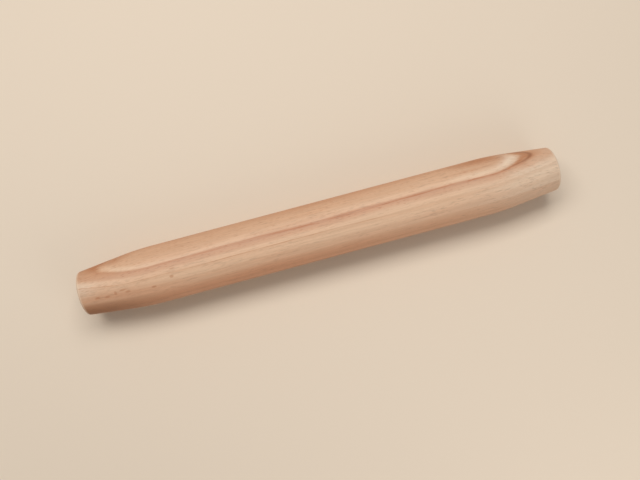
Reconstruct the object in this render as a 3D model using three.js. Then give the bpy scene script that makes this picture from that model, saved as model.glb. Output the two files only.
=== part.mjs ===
// A pizza rolling pin, turned from one blank of wood: a straight barrel that tapers to a flat face at each end.
// Units are millimetres and +Z is up. The pin lies on its barrel along X.
// The origin is where the barrel touches the worktop, under the middle of the pin.

import * as THREE from 'three';

// Driving dimensions
const PIN_LENGTH = 400;
const BARREL_DIAMETER = 47.5;
const END_DIAMETER = 36; // where a taper would meet its end face with a sharp edge
const TAPER_LENGTH = 50; // from an end face to where the taper would meet the barrel
const BLEND_LENGTH = 23; // the stretch over which the barrel eases into a taper
const EDGE_RADIUS = 2; // the rounding between a taper and its end face

// How finely the round is drawn: a multiple of 4, so that the pin lies on a flat
const FLATS_AROUND = 64;
const STEPS_PER_CURVE = 4;

// Bare beech
const WOOD_COLOUR = '#d6b191';
const WOOD_ROUGHNESS = 0.6;

const halfLength = PIN_LENGTH / 2;
const barrelRadius = BARREL_DIAMETER / 2;
const taperStart = halfLength - TAPER_LENGTH;
const taperSlope = (BARREL_DIAMETER - END_DIAMETER) / 2 / TAPER_LENGTH;

// The straight taper's radius at a distance from the middle of the pin
function taperRadius(distance) {
  return barrelRadius - taperSlope * (distance - taperStart);
}

// The outline of one end, from the barrel to the axis: x is the radius, y the distance from the middle
function endOutline() {
  const blendReach = BLEND_LENGTH / 2;
  const blendEnd = taperStart + blendReach;
  const taperAngle = Math.atan(taperSlope);
  const edgeCentre = halfLength - EDGE_RADIUS;
  const edgeCentreRadius = taperRadius(edgeCentre) - EDGE_RADIUS / Math.cos(taperAngle);

  const outline = new THREE.Path();
  outline.moveTo(barrelRadius, taperStart - blendReach);
  outline.quadraticCurveTo(barrelRadius, taperStart, taperRadius(blendEnd), blendEnd);
  outline.absarc(edgeCentreRadius, edgeCentre, EDGE_RADIUS, taperAngle, Math.PI / 2);
  outline.lineTo(0, halfLength);
  return outline.getPoints(STEPS_PER_CURVE);
}

// The whole outline, from the axis at one end face to the axis at the other
function pinOutline() {
  const rightEnd = endOutline();
  const leftEnd = rightEnd.map((point) => new THREE.Vector2(point.x, -point.y)).reverse();
  return [...leftEnd, ...rightEnd];
}

// The turned pin about Y. Its flats touch the true round, so the barrel measures its diameter across them.
function turnedPin() {
  const halfFlat = Math.PI / FLATS_AROUND;
  const cornerScale = 1 / Math.cos(halfFlat);
  const geometry = new THREE.LatheGeometry(pinOutline(), FLATS_AROUND, halfFlat);
  return geometry.scale(cornerScale, 1, cornerScale);
}

const wood = new THREE.MeshStandardMaterial({
  color: WOOD_COLOUR,
  roughness: WOOD_ROUGHNESS,
  metalness: 0,
});

const pinBody = new THREE.Mesh(turnedPin(), wood);
pinBody.name = 'pin_body';
pinBody.rotation.z = -Math.PI / 2;
pinBody.position.z = barrelRadius;

const rollingPin = new THREE.Group();
rollingPin.add(pinBody);

export default rollingPin;
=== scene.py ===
# %% [markdown]
# A pizza rolling pin. It is one stick of pale beech, turned on a lathe: a straight barrel that
# tapers towards a flat face at each end. There is no axle and there are no handles, so all of its
# character is in two things: the soft line of the taper, and the grain of the wood. This lesson
# models the first as a mesh and the second as a solid pattern that fills the whole blank.

import math

import bmesh
import bpy
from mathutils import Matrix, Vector


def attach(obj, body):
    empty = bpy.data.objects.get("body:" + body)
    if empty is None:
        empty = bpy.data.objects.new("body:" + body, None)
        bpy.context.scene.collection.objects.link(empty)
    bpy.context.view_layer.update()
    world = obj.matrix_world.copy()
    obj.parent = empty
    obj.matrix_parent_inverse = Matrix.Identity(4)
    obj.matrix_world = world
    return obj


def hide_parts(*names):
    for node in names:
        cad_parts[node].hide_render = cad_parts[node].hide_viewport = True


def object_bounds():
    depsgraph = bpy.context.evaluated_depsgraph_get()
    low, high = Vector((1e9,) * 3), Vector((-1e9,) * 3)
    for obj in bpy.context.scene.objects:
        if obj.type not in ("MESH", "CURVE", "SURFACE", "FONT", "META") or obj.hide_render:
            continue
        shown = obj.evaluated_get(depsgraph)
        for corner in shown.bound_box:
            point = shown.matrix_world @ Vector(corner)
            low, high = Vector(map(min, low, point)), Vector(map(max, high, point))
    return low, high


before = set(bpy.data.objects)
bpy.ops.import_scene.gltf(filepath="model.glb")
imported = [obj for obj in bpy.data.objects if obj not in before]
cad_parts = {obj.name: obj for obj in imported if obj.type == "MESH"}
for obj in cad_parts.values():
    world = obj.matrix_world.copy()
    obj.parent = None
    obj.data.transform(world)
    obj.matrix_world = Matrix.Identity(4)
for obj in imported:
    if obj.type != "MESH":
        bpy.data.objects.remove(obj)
cad_low, cad_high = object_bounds()

MM = 0.001
pin_length = cad_high.x - cad_low.x
half_length = pin_length / 2
barrel_radius = (cad_high.z - cad_low.z) / 2
pin_centre = (cad_low + cad_high) / 2

# %% [markdown]
# A turned shape could be spun from half of its outline. A cylinder is simpler here, because most of
# the pin is one: it stands for the barrel, and the end faces are pulled out of it afterwards. It is
# laid along X and its transform is applied, so that from here on the mesh and the world agree.

# %% Turn the barrel
TAPER_LENGTH = 50 * MM
FACETS_AROUND = 192

bpy.ops.object.select_all(action="DESELECT")
bpy.ops.mesh.primitive_cylinder_add(
    vertices=FACETS_AROUND,
    radius=barrel_radius,
    depth=pin_length - 2 * TAPER_LENGTH,
    location=pin_centre,
    rotation=(0, math.radians(90), 0),
    calc_uvs=False,
)
pin = bpy.context.object
pin.name = "turned_pin"
bpy.ops.object.transform_apply(location=True, rotation=True, scale=True)
print(f"barrel of {len(pin.data.polygons)} faces, {pin.dimensions.x / MM:.0f} mm long")

# %% [markdown]
# Each taper is one extrusion of an end face, scaled about the pin's axis. Scripts have no mouse, so
# a small helper picks faces or edges by a test: here, the faces that look along the pin.

# %% Draw out the tapers
END_RADIUS = 18 * MM
FACING = 0.9  # the least part of a face's normal that points along the pin


def select_parts(kind, wanted):
    """In edit mode, selects the pin's faces or edges that pass the test, and counts them."""
    bpy.ops.mesh.select_mode(type=kind)
    bpy.ops.mesh.select_all(action="DESELECT")
    mesh = bmesh.from_edit_mesh(pin.data)
    chosen = [part for part in (mesh.faces if kind == "FACE" else mesh.edges) if wanted(part)]
    for part in chosen:
        part.select_set(True)
    bmesh.update_edit_mesh(pin.data)
    return len(chosen)


bpy.ops.object.mode_set(mode="EDIT")
for side in (-1, 1):
    select_parts("FACE", lambda face: face.normal.x * side > FACING)
    bpy.ops.mesh.extrude_region_move(TRANSFORM_OT_translate={"value": (side * TAPER_LENGTH, 0, 0)})
    narrower = END_RADIUS / barrel_radius
    bpy.ops.transform.resize(
        value=(1, narrower, narrower),
        center_override=pin_centre + Vector((side * half_length, 0, 0)),
    )
taper_slope = (barrel_radius - END_RADIUS) / TAPER_LENGTH
taper_angle = math.atan(taper_slope)
print(f"tapers fall {math.degrees(taper_angle):.2f} degrees")

# %% [markdown]
# A lathe tool leaves no sharp change of slope, so the corner between barrel and taper is eased over
# a long bevel, and the rims of the end faces are rounded with a short one. For a bevel on a corner
# that turns by some angle, the offset along each face is the radius times the tangent of half of it.

# %% Ease the corners
BLEND_LENGTH = 23 * MM
BLEND_STEPS = 14
EDGE_RADIUS = 2 * MM
EDGE_STEPS = 8
CLOSE = 0.01 * MM


def edge_span(edge):
    """How far an edge reaches along the pin."""
    return abs(edge.verts[0].co.x - edge.verts[1].co.x)


def on_circle(edge, distance):
    """True for an edge of the circle at this distance from the middle, at either end."""
    return edge_span(edge) < CLOSE and abs(abs(edge.verts[0].co.x) - distance) < CLOSE


corner_edges = select_parts("EDGE", lambda edge: on_circle(edge, half_length - TAPER_LENGTH))
bpy.ops.mesh.bevel(offset=BLEND_LENGTH / 2, segments=BLEND_STEPS, affect="EDGES")

rim_turn = math.radians(90) - taper_angle
rim_edges = select_parts("EDGE", lambda edge: on_circle(edge, half_length))
bpy.ops.mesh.bevel(offset=EDGE_RADIUS * math.tan(rim_turn / 2), segments=EDGE_STEPS, affect="EDGES")
print(f"eased {corner_edges} corner edges and {rim_edges} rim edges")

# %% [markdown]
# The long faces are cut into shorter ones and the end faces are filled with rings, so that every
# face is a small tidy one. The first ring sits close to the rim: it keeps the end face's shading
# flat, while the rounding next to it is smoothed.

# %% Even out the faces
LONG_EDGES = (100 * MM, 20 * MM)  # less than the barrel's edges, and less than the tapers'
FACE_LENGTH = 6 * MM
END_RINGS = (0.4 * MM, 5 * MM, 5 * MM)
SMOOTH_ANGLE = math.radians(30)

for shortest in LONG_EDGES:
    long_edges = select_parts("EDGE", lambda edge: edge_span(edge) > shortest)
    longest = max(edge_span(edge) for edge in bmesh.from_edit_mesh(pin.data).edges)
    bpy.ops.mesh.subdivide(number_cuts=round(longest / FACE_LENGTH) - 1)
    print(f"cut {long_edges} edges of {longest / MM:.0f} mm")

select_parts("FACE", lambda face: len(face.verts) > 4)
for ring_width in END_RINGS:
    bpy.ops.mesh.inset(thickness=ring_width, use_individual=True)
bpy.ops.mesh.poke()
bpy.ops.mesh.select_all(action="SELECT")
bpy.ops.mesh.normals_make_consistent(inside=False)
bpy.ops.object.mode_set(mode="OBJECT")
bpy.ops.object.shade_smooth_by_angle(angle=SMOOTH_ANGLE)
print(f"pin of {len(pin.data.polygons)} faces")

# %% [markdown]
# The wood below needs no UV map, but other programs do: for them the pattern is baked to a picture.
# An automatic unwrap would cut the pin into many pieces. Here its side is unrolled as one strip, cut
# open along the underside, with the two end faces as discs beside it. The strip is stretched across
# the grain, because that is where wood has its finest detail.

# %% Unroll the pin
STRIP_HEIGHT = 0.75  # ends on a whole pixel of the picture, so that its edge is not mixed with black
DISC_RADIUS = 0.11
DISC_PLACES = {-1: (0.25, 0.875), 1: (0.75, 0.875)}


def place_on_strip(place, face_turn):
    """A point's place on the strip: how far along the pin and over the rim, and how far around."""
    sideways, height = place.y, place.z - pin_centre.z
    turn = math.atan2(sideways, height)
    turn += math.tau * round((face_turn - turn) / math.tau)
    reach = abs(place.x) + max(0, END_RADIUS - math.hypot(sideways, height))
    way = math.copysign(reach, place.x) / (pin_length + 2 * EDGE_RADIUS)
    return way + 0.5, (turn / math.tau + 0.5) * STRIP_HEIGHT


def place_on_disc(place):
    """A point's place on the disc of its end face."""
    middle = DISC_PLACES[math.copysign(1, place.x)]
    sideways = place.y / END_RADIUS * DISC_RADIUS
    height = (place.z - pin_centre.z) / END_RADIUS * DISC_RADIUS
    return middle[0] + sideways, middle[1] + height


mesh = bmesh.new()
mesh.from_mesh(pin.data)
bake_map = mesh.loops.layers.uv.new("OFBake")
for face in mesh.faces:
    centre = face.calc_center_median()
    face_turn = math.atan2(centre.y, centre.z - pin_centre.z)
    on_end = abs(centre.x) > half_length - CLOSE
    for corner in face.loops:
        place = corner.vert.co
        corner[bake_map].uv = place_on_disc(place) if on_end else place_on_strip(place, face_turn)
mesh.to_mesh(pin.data)
mesh.free()
print(f"unrolled with UV map {pin.data.uv_layers.active.name}")

# %% [markdown]
# The wood is a solid pattern, not a picture wrapped around the pin: every point asks where in the
# tree it grew. So the shader starts from Object coordinates and turns them into the tree's own, in
# millimetres: along the grain, across it (around the trunk) and outwards (towards the bark). The
# blank was cut with the bark side towards the back of the pin. A few helpers keep the code short.

# %% Start the wood
BARK_SIDE = math.radians(43)

wood = bpy.data.materials.new("turned_beech")
wood.use_nodes = True
wood_tree = wood.node_tree
wood_shader = wood_tree.nodes["Principled BSDF"]
pin.data.materials.clear()
pin.data.materials.append(wood)


def add_node(tree, kind, label, feeds, **options):
    """Adds a node to a tree. A feed that is a socket is linked, any other is set as a value."""
    node = tree.nodes.new("ShaderNode" + kind)
    node.label = label
    for option, choice in options.items():
        setattr(node, option, choice)
    for place, feed in feeds.items():
        if isinstance(feed, bpy.types.NodeSocket):
            tree.links.new(feed, node.inputs[place])
        else:
            node.inputs[place].default_value = feed
    return node


def number(operation, label, *feeds):
    """A calculation with plain numbers, as a node of the wood."""
    return add_node(wood_tree, "Math", label, dict(enumerate(feeds)), operation=operation).outputs["Value"]


def vector(operation, label, *feeds):
    """A calculation with places or directions, as a node of the wood."""
    return add_node(wood_tree, "VectorMath", label, dict(enumerate(feeds)), operation=operation).outputs


on_pin = add_node(wood_tree, "TexCoord", "place on the pin", {}).outputs["Object"]
from_axis = vector("SUBTRACT", "from the pin's axis", on_pin, pin_centre)["Vector"]
to_tree = {"Vector": from_axis, "Rotation": (BARK_SIDE, 0, 0), "Scale": (1 / MM, 1 / MM, 1 / MM)}
in_tree = add_node(wood_tree, "Mapping", "in the tree, mm", to_tree).outputs["Vector"]
tree_axes = add_node(wood_tree, "SeparateXYZ", "tree axes", {"Vector": in_tree}).outputs
along, across, outward = tree_axes["X"], tree_axes["Y"], tree_axes["Z"]
print(f"bark side {math.degrees(BARK_SIDE):.0f} degrees back from straight up")

# %% [markdown]
# Growth rings are circles about the heart of the tree, which lay outside this blank and a little to
# one side. They are not quite parallel to the pin: they fan out towards one end. Slow noise,
# stretched along the grain, makes them wander as real rings do.

# %% Find the growth ring
HEART_DEPTH = 74  # mm from the pin's axis, away from the bark
HEART_ASIDE = 7
RING_LEAN = -0.0052  # mm that the ring through the pin's axis rises in each mm of length
RING_FAN = 0.0004  # what is added to that in each mm outwards
SLOW_SWAY = 1.6  # mm
FIBRE_SWAY = 0.9
NOISE_ROUGHNESS = 0.55


def grain_noise(label, sizes, detail, seed):
    """Noise with a typical size, in mm, along the grain, across it and outwards."""
    stretch = tuple(1 / size for size in sizes)
    place = vector("MULTIPLY_ADD", label, in_tree, stretch, (seed, seed, seed))["Vector"]
    feeds = {"Vector": place, "Scale": 1, "Detail": detail, "Roughness": NOISE_ROUGHNESS}
    return add_node(wood_tree, "TexNoise", label, feeds).outputs["Fac"]


def sway(value, label, noise, amount):
    """Moves a value up and down by noise, by half of the amount each way."""
    lowered = number("SUBTRACT", label, value, amount / 2)
    return number("MULTIPLY_ADD", label, noise, amount, lowered)


heart_height = number("ADD", "height above the heart", outward, HEART_DEPTH)
heart_side = number("ADD", "sideways from the heart", across, HEART_ASIDE)
height_square = number("MULTIPLY", "height squared", heart_height, heart_height)
heart_square = number("MULTIPLY_ADD", "sum of squares", heart_side, heart_side, height_square)
heart_distance = number("SQRT", "distance from the heart", heart_square)
ring = number("SUBTRACT", "ring, mm", heart_distance, math.hypot(HEART_DEPTH, HEART_ASIDE))

slow_wander = grain_noise("slow wander", sizes=(120, 16, 16), detail=1, seed=3.1)
fibre_wander = grain_noise("fibre wander", sizes=(26, 0.8, 0.8), detail=2, seed=7.7)
ring = sway(ring, "slow wander", slow_wander, SLOW_SWAY)
ring = sway(ring, "fibre wander", fibre_wander, FIBRE_SWAY)
lean = number("MULTIPLY_ADD", "lean", ring, RING_FAN, RING_LEAN)
ring = number("SUBTRACT", "leaning ring, mm", ring, number("MULTIPLY", "rise", lean, along))
print(f"heart {math.hypot(HEART_DEPTH, HEART_ASIDE):.0f} mm from the pin's axis")

# %% [markdown]
# Where a ring leaves the wood at a flat angle, a bend of less than a millimetre shifts its line a
# long way. A few such bends give the rings of this stick their own course. Each one acts inside a
# soft oval, which has a place and a reach along the pin and among the rings.

# %% Bend the rings
BENDS = (  # the middle along the pin and among the rings, the reach each way, the bend, all in mm
    ((-105, 20.1), (90, 5.0), -0.5),
    ((-185, 20.2), (25, 2.0), -0.2),
    ((145, 20.6), (40, 3.0), 0.35),
    ((182, 20.2), (32, 6.0), -0.62),
    ((-166, 13.9), (26, 2.8), 0.9),
)


def fade(label, value, start, end):
    """Rises softly from 0 where the value is at the start to 1 where it is at the end."""
    feeds = {"Value": value, "From Min": start, "From Max": end}
    return add_node(wood_tree, "MapRange", label, feeds, interpolation_type="SMOOTHSTEP").outputs["Result"]


def oval_distance(label, level, middle, reach):
    """In the plane of length and a level: 0 in the middle of an oval, 1 on its edge."""
    place = add_node(wood_tree, "CombineXYZ", label, {"X": along, "Y": level}).outputs["Vector"]
    stretch = (1 / reach[0], 1 / reach[1], 0)
    shift = (-middle[0] / reach[0], -middle[1] / reach[1], 0)
    offset = vector("MULTIPLY_ADD", label, place, stretch, shift)["Vector"]
    return vector("LENGTH", label, offset)["Value"]


def patch(label, level, middle, reach):
    """A soft oval: 1 in its middle, 0 from its edge outwards."""
    return fade(label, oval_distance(label, level, middle, reach), 1, 0)


def plus(label, base, part, share):
    """A value with a share of another one added."""
    return number("MULTIPLY_ADD", label, part, share, base)


for middle, reach, amount in BENDS:
    ring = plus("bent ring, mm", ring, patch("bend", ring, middle, reach), amount)
print(f"{len(BENDS)} bends of up to {max(abs(amount) for *_, amount in BENDS)} mm")

# %% [markdown]
# Each year starts pale and darkens slowly to a reddish line, where growth stops for the winter. The
# next year starts pale again, so a ring has one soft side and one sharp side. A short list gives
# each ring's sharp side, how dark it gets and how far the darkening reaches back. A colour ramp
# turns the distance through the rings into a darkness.

# %% Darken the rings
RINGS = (  # the sharp side and half of its width, the darkness, the reach of the darkening, in mm
    (-20.5, 0.25, 0.45, 4.0),
    (-13.0, 0.25, 0.40, 4.0),
    (-5.5, 0.25, 0.20, 3.0),
    (3.1, 0.40, 0.12, 6.0),
    (8.8, 0.80, 0.19, 5.0),
    (14.6, 0.15, 0.15, 2.5),
    (20.45, 0.25, 0.64, 4.2),
)
INNER_STOP = (-26.0, 0.10)  # a place among the rings, in mm, and the darkness there
OUTER_STOPS = ((21.6, 0.13), (22.8, 0.28), (26.0, 0.55))
START_DARKNESS = 0.03  # where the darkening begins
MIDWAY, MIDWAY_SHARE = 0.55, 0.85  # the share of the reach, and of the darkness, midway
SHARE_LEFT = 0.2  # what is left past the sharp side

ring_stops = [INNER_STOP]
for sharp_side, half_width, darkest, reach in RINGS:
    ring_stops += [
        (sharp_side - reach, START_DARKNESS),
        (sharp_side - reach * MIDWAY, darkest * MIDWAY_SHARE),
        (sharp_side - half_width, darkest),
        (sharp_side + half_width, darkest * SHARE_LEFT),
    ]
ring_stops += OUTER_STOPS

first_place, last_place = ring_stops[0][0], ring_stops[-1][0]
ramp_feeds = {"Value": ring, "From Min": first_place, "From Max": last_place}
ramp_place = add_node(wood_tree, "MapRange", "place on the ramp", ramp_feeds).outputs["Result"]
ramp_node = add_node(wood_tree, "ValToRGB", "darkness of the ring", {"Fac": ramp_place})
stop_list = ramp_node.color_ramp.elements
while len(stop_list) < len(ring_stops):
    stop_list.new(1)
for stop, (place, dark) in zip(stop_list, ring_stops):
    stop.position = (place - first_place) / (last_place - first_place)
    stop.color = (dark, dark, dark, 1)
darkness = ramp_node.outputs["Color"]
print(f"{len(RINGS)} rings from {len(ring_stops)} stops")

# %% [markdown]
# No ring is alike from end to end. The same soft ovals make a ring paler or darker along part of its
# length, or add a brown spot; one of them, on the lower side of the right end, is painted bounce light
# rather than wood. Thin winter lines are added too, each over its own stretch of the pin, and broken up
# here and there by noise.

# %% Vary the rings
PATCHES = (  # name, middle along the pin and among the rings, reach each way, change in darkness
    ("pale right streak", (145, 21.1), (85, 1.1), -1.00),
    ("pale left streak", (-168, 21.1), (45, 1.2), -0.50),
    ("duller left streak", (-116, 21.7), (24, 0.8), 0.90),
    ("duller middle streak", (-28, 21.2), (70, 0.9), 1.70),
    ("narrower band", (160, 18.0), (90, 1.4), -0.40),
    ("narrower middle band", (56, 17.4), (48, 1.4), -0.55),
    ("sharp right tip", (195, 17.9), (45, 1.0), -0.55),
    # painted bounce light: the rings are lighter on the lower side of the right end, as if lit from the
    # floor
    ("painted bounce light, lower right", (185, -5), (60, 7), -0.80),
)
BROWN_SPOTS = (  # the middle along the pin and across the tree, its reach each way, the darkness
    ((140, 8), (40, 13), 0.62),
    ((-174, 7), (30, 12), 0.65),
    ((179.5, -1.5), (7, 9), 0.25),
    ((172, -7), (9, 5), 0.15),
    ((130, -4), (28, 2.6), 0.16),
)
BARK_FACE = (0, 10)  # mm outwards, where the spots begin and where they are full
WINTER_LINES = (  # the middle and half of the width, the darkness, the start and end along the pin
    (-21.1, 0.45, 0.30, -260, 60),
    (-13.6, 0.45, 0.40, -120, 260),
    (2.9, 0.40, 0.25, 60, 260),
    (14.3, 0.45, 0.45, -110, 70),
    (14.6, 0.40, 0.50, -260, -120),
    (19.45, 0.80, 0.20, -50, 30),
    (19.75, 0.60, 0.22, -140, 260),
    (19.75, 0.50, 0.22, 60, 150),
)
LINE_FADE = 40  # mm before and after a line's start and end
LINE_BREAKS = (0.3, 0.6)  # the noise where a line is gone, and where it is whole


def band(label, value, rise, fall):
    """Fades in over one pair of values and fades out again over another."""
    return number("MULTIPLY", label, fade(label, value, *rise), fade(label, value, *fall))


for label, middle, reach, change in PATCHES:
    strength = plus(label, 1, patch(label, ring, middle, reach), change)
    darkness = number("MULTIPLY", label, darkness, strength)
bark_face = fade("bark face", outward, *BARK_FACE)
for middle, reach, dark in BROWN_SPOTS:
    spot = number("MULTIPLY", "brown spot", patch("brown spot", across, middle, reach), bark_face)
    darkness = plus("brown spot", darkness, spot, dark)

streaks = grain_noise("streaks", sizes=(20, 1.3, 1.3), detail=2, seed=19.1)
unbroken = fade("unbroken line", streaks, *LINE_BREAKS)
for middle, half_width, dark, start, end in WINTER_LINES:
    apart = number("ABSOLUTE", "from the line", number("SUBTRACT", "past the line", ring, middle))
    line = number("MULTIPLY", "broken line", fade("winter line", apart, half_width, 0), unbroken)
    rise, fall = (start - LINE_FADE, start + LINE_FADE), (end + LINE_FADE, end - LINE_FADE)
    line = number("MULTIPLY", "stretch of the line", line, band("stretch of the line", along, rise, fall))
    darkness = plus("winter line", darkness, line, dark)
print(f"{len(PATCHES)} patches, {len(BROWN_SPOTS)} brown spots and {len(WINTER_LINES)} winter lines")

# %% [markdown]
# At the right, where the strongest ring turns back, its outer side ends in a thin dark bow. A patch
# has no outline of its own, but the distance that it is made from gives one: the bow lies where that
# distance is close to 1. It is kept only near the tip of its oval.

# %% Draw the dark bow
BOW = (120.8, 1), (60, 13.5)  # the middle along the pin and across the tree, its reach each way, in mm
BOW_WIDTH = 0.055  # half of it, as a share of the reach
BOW_LENGTH = (150, 181)  # mm along the pin, where it begins and where it is full

past_bow = number("SUBTRACT", "past the bow", oval_distance("bow", across, *BOW), 1)
bow = fade("dark bow", number("ABSOLUTE", "from the bow", past_bow), BOW_WIDTH, 0)
bow = number("MULTIPLY", "tip of the bow", bow, fade("tip of the bow", along, *BOW_LENGTH))
bow = number("MULTIPLY", "bow on the bark face", bow, bark_face)
print(f"dark bow with its tip {BOW[0][0] + BOW[1][0]:.0f} mm right of the middle")

# %% [markdown]
# Beech is known by its rays: thin sheets of cells that run from the heart to the bark. Cut across,
# they show as short dark flecks, and on a face that follows them they show as broader flakes. Both
# come from one pattern here: flat ovals, long along the ray and very thin around the trunk, one in
# each cell of a stretched Voronoi pattern. A random number for each cell leaves some of them out.

# %% Add the rays
RAY_CELL = (5, 0.6, 14)  # mm along the grain, around the trunk and outwards
RAY_EDGE = (0.40, 0.15)  # where a ray fades in, as the distance from the middle of its cell
RAY_CHANCE = (0.1, 1.0)  # the random numbers of a ray that is left out and of one at full strength
CUT_ACROSS = (22, 12)  # mm across the tree, where the surface begins to cut the rays and where it does
RAY_DARKNESS = 0.08
CUT_DARKNESS = 0.22  # added where the rays are cut across

ray_angle = number("ARCTAN2", "angle around the heart", heart_side, heart_height)
ray_place = add_node(wood_tree, "CombineXYZ", "place among the rays", {
    "X": number("DIVIDE", "cells along", along, RAY_CELL[0]),
    "Y": number("MULTIPLY", "cells around", ray_angle, HEART_DEPTH / RAY_CELL[1]),
    "Z": number("DIVIDE", "cells outwards", ring, RAY_CELL[2]),
}).outputs["Vector"]
ray_cells = add_node(wood_tree, "TexVoronoi", "ray cells", {"Vector": ray_place, "Scale": 1}).outputs
chances = add_node(wood_tree, "SeparateXYZ", "chance of a ray", {"Vector": ray_cells["Color"]}).outputs
rays = number(
    "MULTIPLY", "rays",
    fade("ray shape", ray_cells["Distance"], *RAY_EDGE), fade("ray strength", chances["X"], *RAY_CHANCE),
)
cut_across = fade("cut across", number("ABSOLUTE", "sideways", across), *CUT_ACROSS)
ray_darkness = plus("darker where cut across", RAY_DARKNESS, cut_across, CUT_DARKNESS)
darkness = plus("darker rays", darkness, rays, ray_darkness)
print(f"rays about {RAY_CELL[0]} mm long and {RAY_CELL[1]} mm thick")

# %% [markdown]
# The rings above are the strong ones. Between them lie many faint years, which hardly show on the
# sides but draw fine arcs on the end grain. Each one is a saw tooth: a slow rise and a quick fall.

# %% Add the faint years
YEAR_WIDTH = 2.3  # mm
YEAR_SWAY = 1.6  # years
YEAR_RISE, YEAR_FALL = (0.2, 0.9), (1.0, 0.9)  # shares of the year
YEAR_DARKNESS = 0.05
END_YEAR_DARKNESS = 0.22  # added on the end faces
END_SKIN = (0.5, 0.05)  # mm from the end, where an end face begins and where it is full

year_noise = grain_noise("uneven years", sizes=(400, 40, 3.5), detail=1, seed=23.7)
year = sway(number("DIVIDE", "year", ring, YEAR_WIDTH), "uneven years", year_noise, YEAR_SWAY)
faint_year = band("faint year", number("FRACT", "share of the year", year), YEAR_RISE, YEAR_FALL)
from_middle = number("ABSOLUTE", "distance from the middle", along)
from_end = number("SUBTRACT", "distance from the end", half_length / MM, from_middle)
end_face = fade("end face", from_end, *END_SKIN)
year_darkness = plus("clearer on the ends", YEAR_DARKNESS, end_face, END_YEAR_DARKNESS)
darkness = plus("faint years", darkness, faint_year, year_darkness)
print(f"faint years {YEAR_WIDTH} mm apart")

# %% [markdown]
# The last dark marks are the ones that make this stick this stick: a few specks near one end. Each
# is a small oval with a ragged edge, placed by its distance along the pin and its angle from the top
# towards the front.

# %% Add the specks
SPECKS = (  # mm along the pin, degrees from the top, half length and half width in mm, darkness
    (-123.6, 18.8, 2.0, 1.5, 0.48),
    (-139.1, 29.5, 2.4, 1.2, 0.45),
    (-185.0, 26.3, 3.4, 1.2, 0.50),
    (-177.0, 28.5, 3.0, 1.1, 0.40),
    (-170.0, 24.5, 1.6, 2.2, 0.45),
    (-163.5, 20.5, 3.4, 1.1, 0.45),
    (-160.0, 26.0, 2.6, 1.2, 0.40),
    (-122.0, 4.0, 3.4, 0.8, 0.40),
)
SPECK_EDGE = (1.0, 0.4)  # where a speck fades in, as a share of its half length or width
SPECK_SWAY = 1.2

for place, degrees, half_long, half_wide, dark in SPECKS:
    turn = math.radians(degrees)
    radius = barrel_radius - max(0, abs(place) * MM - (half_length - TAPER_LENGTH)) * taper_slope
    spot = Vector((place * MM, -radius * math.sin(turn), radius * math.cos(turn)))
    stretch = Vector((1 / half_long, 1 / half_wide, 1 / half_wide)) / MM
    offset = vector("MULTIPLY_ADD", "speck", from_axis, stretch, -spot * stretch)["Vector"]
    ragged = sway(vector("LENGTH", "speck", offset)["Value"], "ragged speck", fibre_wander, SPECK_SWAY)
    darkness = plus("speck", darkness, fade("speck", ragged, *SPECK_EDGE), dark)
print(f"{len(SPECKS)} specks")

# %% [markdown]
# Real wood is never one colour. The lower side of this stick is pinker and its back is rosier, both
# clouded by slow noise; the pink is partly the wood's own tone and partly painted warm light, bounced up
# from below. Its right end, parts of its palest ring and a patch at the right are paler, and a pale patch
# on the left end and another on the right side are painted highlights. Each tone gets a region here, a
# number from 0 to 1, and its colour in a later cell.

# %% Find the tones
RIGHT_END = (100, 200)  # mm along the pin, where it begins and where it is full
# The pale patch on the left end is a painted highlight.
PALE_LEFT_HIGHLIGHT = (-206, 14), (30, 10)  # the middle along the pin and among the rings, its reach each way
RIGHT_TIP = (166, 21.8), (22, 1.5)
RIGHT_STREAK = (128, 21.8), (28, 0.9)
LEFT_TIP = (-162, 21.4), (40, 1.0)
# The pale patch on the right side is a painted highlight.
PALE_RIGHT_HIGHLIGHT = (172, 8), (36, 7)
PALE_BACK = (92, -4), (32, 4.5)  # the middle along the pin and across the tree, its reach each way
# The pink of the lower side is partly the wood's tone and partly painted warm light bounced up from below.
PINK_RISE, PINK_FALL = (-24, -12), (10, -5)  # mm among the rings
PINK_LENGTH = (330, -60)  # mm along the pin
PINK_LEFT, PINK_LEFT_SHARE = ((-165, 7), (75, 7)), 0.5
ROSE_RISE, ROSE_FALL = (1, 14), (22, 15)  # mm across the tree
ROSY_PATCHES = (  # name, middle along the pin and across the tree, reach each way, share
    ("rosy right end", (185, 1), (27, 16), 0.65),
    ("rosy middle", (25, 10), (90, 14), 0.40),
    ("rosy tip", (150, 0), (22, 8), 0.30),
    ("rosy strip", (144, -14.5), (26, 6), 0.35),
    ("rosy bend", (168, -9.5), (18, 5), 0.45),
)
CLOUDING = 0.35

clouds = grain_noise("clouds", sizes=(60, 7, 7), detail=2, seed=11.3)
right_end = fade("right end", along, *RIGHT_END)
# painted highlight on the left end
pale_left_highlight = patch("left end", ring, *PALE_LEFT_HIGHLIGHT)
right_tip = patch("pale right tip", ring, *RIGHT_TIP)
right_streak = patch("paler right streak", ring, *RIGHT_STREAK)
left_tip = patch("pale left tip", ring, *LEFT_TIP)
# painted highlight on the right side
pale_right_highlight = patch("pale painted highlight", ring, *PALE_RIGHT_HIGHLIGHT)
pale_back = patch("pale back", across, *PALE_BACK)

# painted warm bounce light on the lower side, over a pinker wood tone
pink_and_bounce_light = band("pink side and painted bounce light", ring, PINK_RISE, PINK_FALL)
pink_and_bounce_light = number("MULTIPLY", "pinker left", pink_and_bounce_light, fade("pinker left", along, *PINK_LENGTH))
pink_and_bounce_light = plus("pink left", pink_and_bounce_light, patch("pink left", ring, *PINK_LEFT), PINK_LEFT_SHARE)
pink_and_bounce_light = sway(pink_and_bounce_light, "clouded pink", clouds, CLOUDING)

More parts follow.
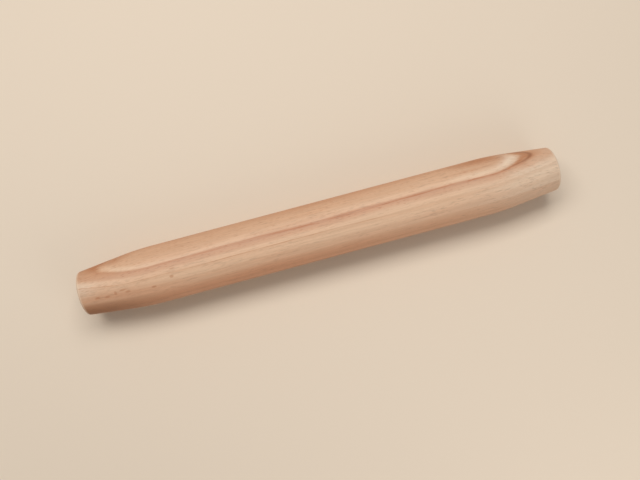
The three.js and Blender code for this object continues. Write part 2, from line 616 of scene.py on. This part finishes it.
rosy_back = band("rosy back", across, ROSE_RISE, ROSE_FALL)
for label, middle, reach, share in ROSY_PATCHES:
    rosy_back = plus(label, rosy_back, patch(label, across, middle, reach), share)
rosy_back = sway(rosy_back, "clouded rose", clouds, CLOUDING)
print(f"pink side and painted bounce light, rosy back with {len(ROSY_PATCHES)} rosier patches, paler ends, streaks and patches")

# %% [markdown]
# The left end is a little darker than the rest: painted shade, as if less light reached that end. Its
# lower side also has a brown stain, which deepens downwards and ends along one of the rings.

# %% Find the shaded left end and the stain
# painted shade: the left end is darkened as if less light reached it
LEFT_SHADE_LENGTH = (-125, -190)  # mm along the pin, where it begins and where it is full
LEFT_SHADE_RINGS = (17, 10)  # mm among the rings
STAIN_LENGTH = (-110, -200)
STAIN_RISE, STAIN_FALL = (-24, -12), (4.2, 0.4)  # mm among the rings
STAIN_DEEPER = (4, -10)
STAIN_LEAST, STAIN_MORE = 0.40, 0.60

# painted shade on the left end
left_shade = number(
    "MULTIPLY", "shaded left end",
    fade("shaded length", along, *LEFT_SHADE_LENGTH), fade("shaded side", ring, *LEFT_SHADE_RINGS),
)
stained_end = number(
    "MULTIPLY", "stained end",
    fade("stained length", along, *STAIN_LENGTH), band("stained side", ring, STAIN_RISE, STAIN_FALL),
)
stain_depth = plus("stain depth", STAIN_LEAST, fade("deeper below", ring, *STAIN_DEEPER), STAIN_MORE)
stained_end = number("MULTIPLY", "stained end", stained_end, stain_depth)
print(f"stain from {-STAIN_LENGTH[0]} mm left of the middle")

# %% [markdown]
# Now the regions become colour, laid over each other like thin washes from the bottom up. The
# darkness of rings, rays and specks is the last wash but one, under the dark bow. Noise drawn out
# along the grain then lightens and darkens single fibres, and another noise, cut off below a level,
# leaves short dark dashes where pores were cut open.

# %% Colour the wood
FACTOR, UNDER, OVER, RESULT = 0, 6, 7, 2  # the sockets that a Mix node uses for colours


def srgb(red, green, blue):
    """A colour given as 0 to 255 on screen, as the linear numbers that shaders use."""
    shares = [level / 255 for level in (red, green, blue)]
    linear = [share / 12.92 if share <= 0.04045 else ((share + 0.055) / 1.055) ** 2.4 for share in shares]
    return (*linear, 1)


def tint(label, region, share, colour, under):
    """Lays a colour over another one, by a share of a region."""
    feeds = {FACTOR: number("MULTIPLY", label, region, share), UNDER: under, OVER: colour}
    mix = add_node(wood_tree, "Mix", label, feeds, data_type="RGBA", clamp_factor=True)
    return mix.outputs[RESULT]


CREAM = srgb(214, 178, 146)
GREY_CREAM = srgb(212, 187, 161)
PALE_CREAM = srgb(230, 208, 180)
WASHES = (  # from the bottom up: the name, the region, its share and its colour
    ("grey cream right end", right_end, 1.0, GREY_CREAM),
    ("off-white right tip", right_tip, 0.8, srgb(230, 211, 189)),
    ("pale cream right streak", right_streak, 0.3, PALE_CREAM),
    ("pale cream left tip", left_tip, 0.14, PALE_CREAM),
    # pink: partly the wood's tone, partly painted warm bounce light
    ("pink side and painted bounce light", pink_and_bounce_light, 1.0, srgb(209, 152, 116)),
    # painted highlight on the right side
    ("pale cream painted highlight on the right side", pale_right_highlight, 0.25, PALE_CREAM),
    # painted highlight on the left end
    ("grey cream painted highlight on the left", pale_left_highlight, 1.0, GREY_CREAM),
    ("rosy back", rosy_back, 1.0, srgb(198, 147, 112)),
    ("pale cream back", pale_back, 0.15, PALE_CREAM),
    # painted shade on the left end
    ("dull tan painted shade on the left", left_shade, 0.35, srgb(184, 147, 118)),
    ("brown stain", stained_end, 1.0, srgb(144, 90, 52)),
    ("red brown rings, rays and specks", darkness, 1.0, srgb(170, 111, 72)),
    ("dark brown bow", bow, 0.9, srgb(146, 96, 64)),
)
FIBRE_CONTRAST = 0.20
STREAK_CONTRAST = 0.22
CLOUD_CONTRAST = 0.12
DASH_EDGE = (0.55, 0.72)  # the noise where a dash begins and where it is full
DASH_DARKNESS = 0.13
DARKER_DASHES, MORE_DARKNESS = (0, 110), 0.05  # mm along the pin, and what is added at the right
DASH_GROUPING = 0.4  # how strongly the clouds gather them
EVEN_BRIGHTNESS = 1.02  # makes up for the dashes

wood_colour = CREAM
for label, region, share, colour in WASHES:
    wood_colour = tint(label, region, share, colour, wood_colour)

fibres = grain_noise("fibres", sizes=(24, 0.45, 0.45), detail=3, seed=5.9)
dashes = grain_noise("dashes", sizes=(7, 0.9, 0.9), detail=2, seed=31.3)
dashes = sway(dashes, "dashes in groups", clouds, DASH_GROUPING)
brightness = sway(EVEN_BRIGHTNESS, "fibres", fibres, FIBRE_CONTRAST)
brightness = sway(brightness, "streaks", streaks, STREAK_CONTRAST)
brightness = sway(brightness, "clouds", clouds, CLOUD_CONTRAST)
darker_right = fade("darker dashes", along, *DARKER_DASHES)
dash_darkness = plus("darker dashes", DASH_DARKNESS, darker_right, MORE_DARKNESS)
dash_shade = number("MULTIPLY", "dashes", fade("dashes", dashes, *DASH_EDGE), dash_darkness)
brightness = number("SUBTRACT", "dashes", brightness, dash_shade)
scale_feeds = {0: wood_colour, "Scale": brightness}
scaled = add_node(wood_tree, "VectorMath", "fibres and clouds", scale_feeds, operation="SCALE")
wood_colour = scaled.outputs["Vector"]
print(f"{len(WASHES)} washes over cream")

# %% [markdown]
# End grain drinks in more light and dust than the sides, so the end faces are browner and duller.
# The rounded rims are paler, partly because sandpaper cuts the fibres short there and partly as a painted
# highlight where light catches them.

# %% Finish the ends
# The paler rim is partly sanded fibres and partly a painted highlight.
RIM_RISE, RIM_FALL = (2.4, 1.2), (0.1, 0.8)  # mm from the end
RIM_SHARE, RIM_PALE_AND_HIGHLIGHT = 0.5, srgb(226, 200, 172)
END_SHARE, END_BROWN = 0.5, srgb(176, 132, 98)

rim = band("rim", from_end, RIM_RISE, RIM_FALL)
wood_colour = tint("paler rim and painted highlight", rim, RIM_SHARE, RIM_PALE_AND_HIGHLIGHT, wood_colour)
wood_colour = tint("end grain", end_face, END_SHARE, END_BROWN, wood_colour)
wood_tree.links.new(wood_colour, wood_shader.inputs["Base Color"])
print("browner end faces inside paler rims")

# %% [markdown]
# The surface is sanded and bare: a soft sheen along the sides, none on the ends. A very shallow
# bump follows the fibres and the rays, so that close views show more than flat colour.

# %% Sand the surface
ROUGHNESS = 0.52
ROUGHNESS_SWAY = 0.16
END_ROUGHNESS = 0.2  # added on the end faces
RAY_SINK = -0.4  # beside fibres of height 1
BUMP_STRENGTH = 0.5
BUMP_HEIGHT = 0.03 * MM

roughness = sway(ROUGHNESS, "uneven sheen", fibres, ROUGHNESS_SWAY)
roughness = plus("dull ends", roughness, end_face, END_ROUGHNESS)
wood_tree.links.new(roughness, wood_shader.inputs["Roughness"])
height = plus("sunken rays", fibres, rays, RAY_SINK)
bump_feeds = {"Height": height, "Strength": BUMP_STRENGTH, "Distance": BUMP_HEIGHT}
bump = add_node(wood_tree, "Bump", "fibres and rays", bump_feeds).outputs["Normal"]
wood_tree.links.new(bump, wood_shader.inputs["Normal"])
print(f"wood of {len(wood_tree.nodes)} nodes")

# %% [markdown]
# The picture is taken from almost straight above, so the end faces hardly show, and the pin lies
# slantwise in it. A camera is easiest to aim with three directions: the way it looks, and which way
# is right and up in the picture. The pin's middle is then put on one pixel.

# %% Camera
IMAGE_WIDTH, IMAGE_HEIGHT = 640, 480
PIN_MIDDLE_PIXEL = (320.48, 230.41)
CAMERA_ELEVATION = math.radians(83)
PIN_TURN = math.radians(15.11)
CAMERA_DISTANCE = 593 * MM
FOCAL_PIXELS = 718.2
SENSOR_WIDTH = 36

look = Vector((
    math.sin(PIN_TURN) * math.cos(CAMERA_ELEVATION),
    math.cos(PIN_TURN) * math.cos(CAMERA_ELEVATION),
    -math.sin(CAMERA_ELEVATION),
))
picture_right = Vector((math.cos(PIN_TURN), -math.sin(PIN_TURN), 0))
picture_up = picture_right.cross(look)
pixel_size = CAMERA_DISTANCE / FOCAL_PIXELS
aside = (PIN_MIDDLE_PIXEL[0] - IMAGE_WIDTH / 2) * pixel_size
below = (PIN_MIDDLE_PIXEL[1] - IMAGE_HEIGHT / 2) * pixel_size
camera_place = pin_centre - look * CAMERA_DISTANCE - picture_right * aside + picture_up * below

bpy.ops.object.camera_add(location=camera_place, rotation=look.to_track_quat("-Z", "Y").to_euler())
camera = bpy.context.object
camera.data.sensor_width = SENSOR_WIDTH
camera.data.lens = FOCAL_PIXELS / IMAGE_WIDTH * SENSOR_WIDTH
bpy.context.scene.camera = camera
bpy.context.scene.view_settings.view_transform = "Standard"
print(f"camera {camera_place.z / MM:.0f} mm above the floor, lens {camera.data.lens:.1f} mm")

# %% [markdown]
# A plain pale floor catches the shadow. Seen from low down it would run into the dark far away, so
# there it turns into its own colour without light or shade, and the sky behind it gets that colour
# too. Both do so only where the camera looks, straight or by a reflection. The light that falls on
# the wood stays the same.

# %% Floor
FLOOR_SIZE = 60  # metres
FLOOR_COLOUR = (0.72, 0.60, 0.47, 1)
FLOOR_ROUGHNESS = 0.8
FAR_COLOUR = (0.75, 0.63, 0.50, 1)
FADE_START, FADE_END = 0.26, 0.70  # metres from the middle of the pin

bpy.ops.mesh.primitive_plane_add(size=FLOOR_SIZE, location=(0, 0, 0))
floor = bpy.context.object
floor.name = "floor"
floor_paint = bpy.data.materials.new("pale_floor")
floor_paint.use_nodes = True
floor.data.materials.append(floor_paint)


def add_seen_share(tree):
    """Adds a number to a material or world: 1 where the camera sees it, straight or by a reflection."""
    path = add_node(tree, "LightPath", "kind of ray", {}).outputs
    seen = path["Is Camera Ray"]
    for kind in ("Is Glossy Ray", "Is Transmission Ray"):
        either = add_node(tree, "Math", "seen", {0: seen, 1: path[kind]}, operation="MAXIMUM")
        seen = either.outputs["Value"]
    return seen


floor_tree = floor_paint.node_tree
floor_shader = floor_tree.nodes["Principled BSDF"]
floor_shader.inputs["Base Color"].default_value = FLOOR_COLOUR
floor_shader.inputs["Roughness"].default_value = FLOOR_ROUGHNESS
floor_place = add_node(floor_tree, "TexCoord", "place on the floor", {}).outputs["Object"]
from_pin = add_node(floor_tree, "VectorMath", "from the pin", {0: floor_place}, operation="LENGTH")
far_feeds = {"Value": from_pin.outputs["Value"], "From Min": FADE_START, "From Max": FADE_END}
far_away = add_node(floor_tree, "MapRange", "far away", far_feeds, interpolation_type="SMOOTHSTEP")
seen_feeds = {0: far_away.outputs["Result"], 1: add_seen_share(floor_tree)}
seen_far = add_node(floor_tree, "Math", "seen far away", seen_feeds, operation="MULTIPLY")
far_floor = add_node(floor_tree, "Emission", "far floor", {"Color": FAR_COLOUR})
near_or_far = {
    0: seen_far.outputs["Value"], 1: floor_shader.outputs["BSDF"], 2: far_floor.outputs["Emission"],
}
floor_mix = add_node(floor_tree, "MixShader", "near or far", near_or_far)
floor_tree.links.new(floor_mix.outputs["Shader"], floor_tree.nodes["Material Output"].inputs["Surface"])
print(f"floor {FLOOR_SIZE} m wide, plain from {FADE_END} m outwards")

# %% [markdown]
# Soft light comes from a wide lamp above and behind the pin, as from a window, so that the pin's
# shadow falls towards the viewer and its near side darkens gently. A small weak lamp in front keeps
# that side from going dull, and an even sky fills the rest.

# %% Light
behind = Vector((math.sin(PIN_TURN), math.cos(PIN_TURN), 0))
upwards = Vector((0, 0, 1))
LAMPS = (  # the name, the offset from the pin and the width and depth in metres, the power in watts
    ("key", behind * 0.55 + upwards * 1.29 - picture_right * 0.25, 1.6, 0.6, 17.4),
    ("fill", -behind * 0.40 + upwards * 0.30 + picture_right * 0.35, 0.4, 0.4, 0.66),
)
SKY_COLOUR = (1, 1, 1, 1)
SKY_STRENGTH = 0.32

for name, offset, width, depth, power in LAMPS:
    turn = (-offset).to_track_quat("-Z", "Y").to_euler()
    bpy.ops.object.light_add(type="AREA", location=pin_centre + offset, rotation=turn)
    lamp = bpy.context.object
    lamp.name = name
    lamp.data.shape = "RECTANGLE"
    lamp.data.size = width
    lamp.data.size_y = depth
    lamp.data.energy = power

world = bpy.data.worlds.new("studio")
bpy.context.scene.world = world
world.use_nodes = True
world_tree = world.node_tree
sky_light = world_tree.nodes["Background"]
sky_light.inputs["Color"].default_value = SKY_COLOUR
sky_light.inputs["Strength"].default_value = SKY_STRENGTH
backdrop = add_node(world_tree, "Background", "backdrop", {"Color": FAR_COLOUR})
light_or_backdrop = {
    0: add_seen_share(world_tree), 1: sky_light.outputs["Background"], 2: backdrop.outputs["Background"],
}
sky_mix = add_node(world_tree, "MixShader", "light or backdrop", light_or_backdrop)
world_tree.links.new(sky_mix.outputs["Shader"], world_tree.nodes["World Output"].inputs["Surface"])
print(f"{len(LAMPS)} lamps and a sky of strength {SKY_STRENGTH}")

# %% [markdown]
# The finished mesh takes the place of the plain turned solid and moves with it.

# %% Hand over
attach(pin, "root")
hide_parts("pin_body")
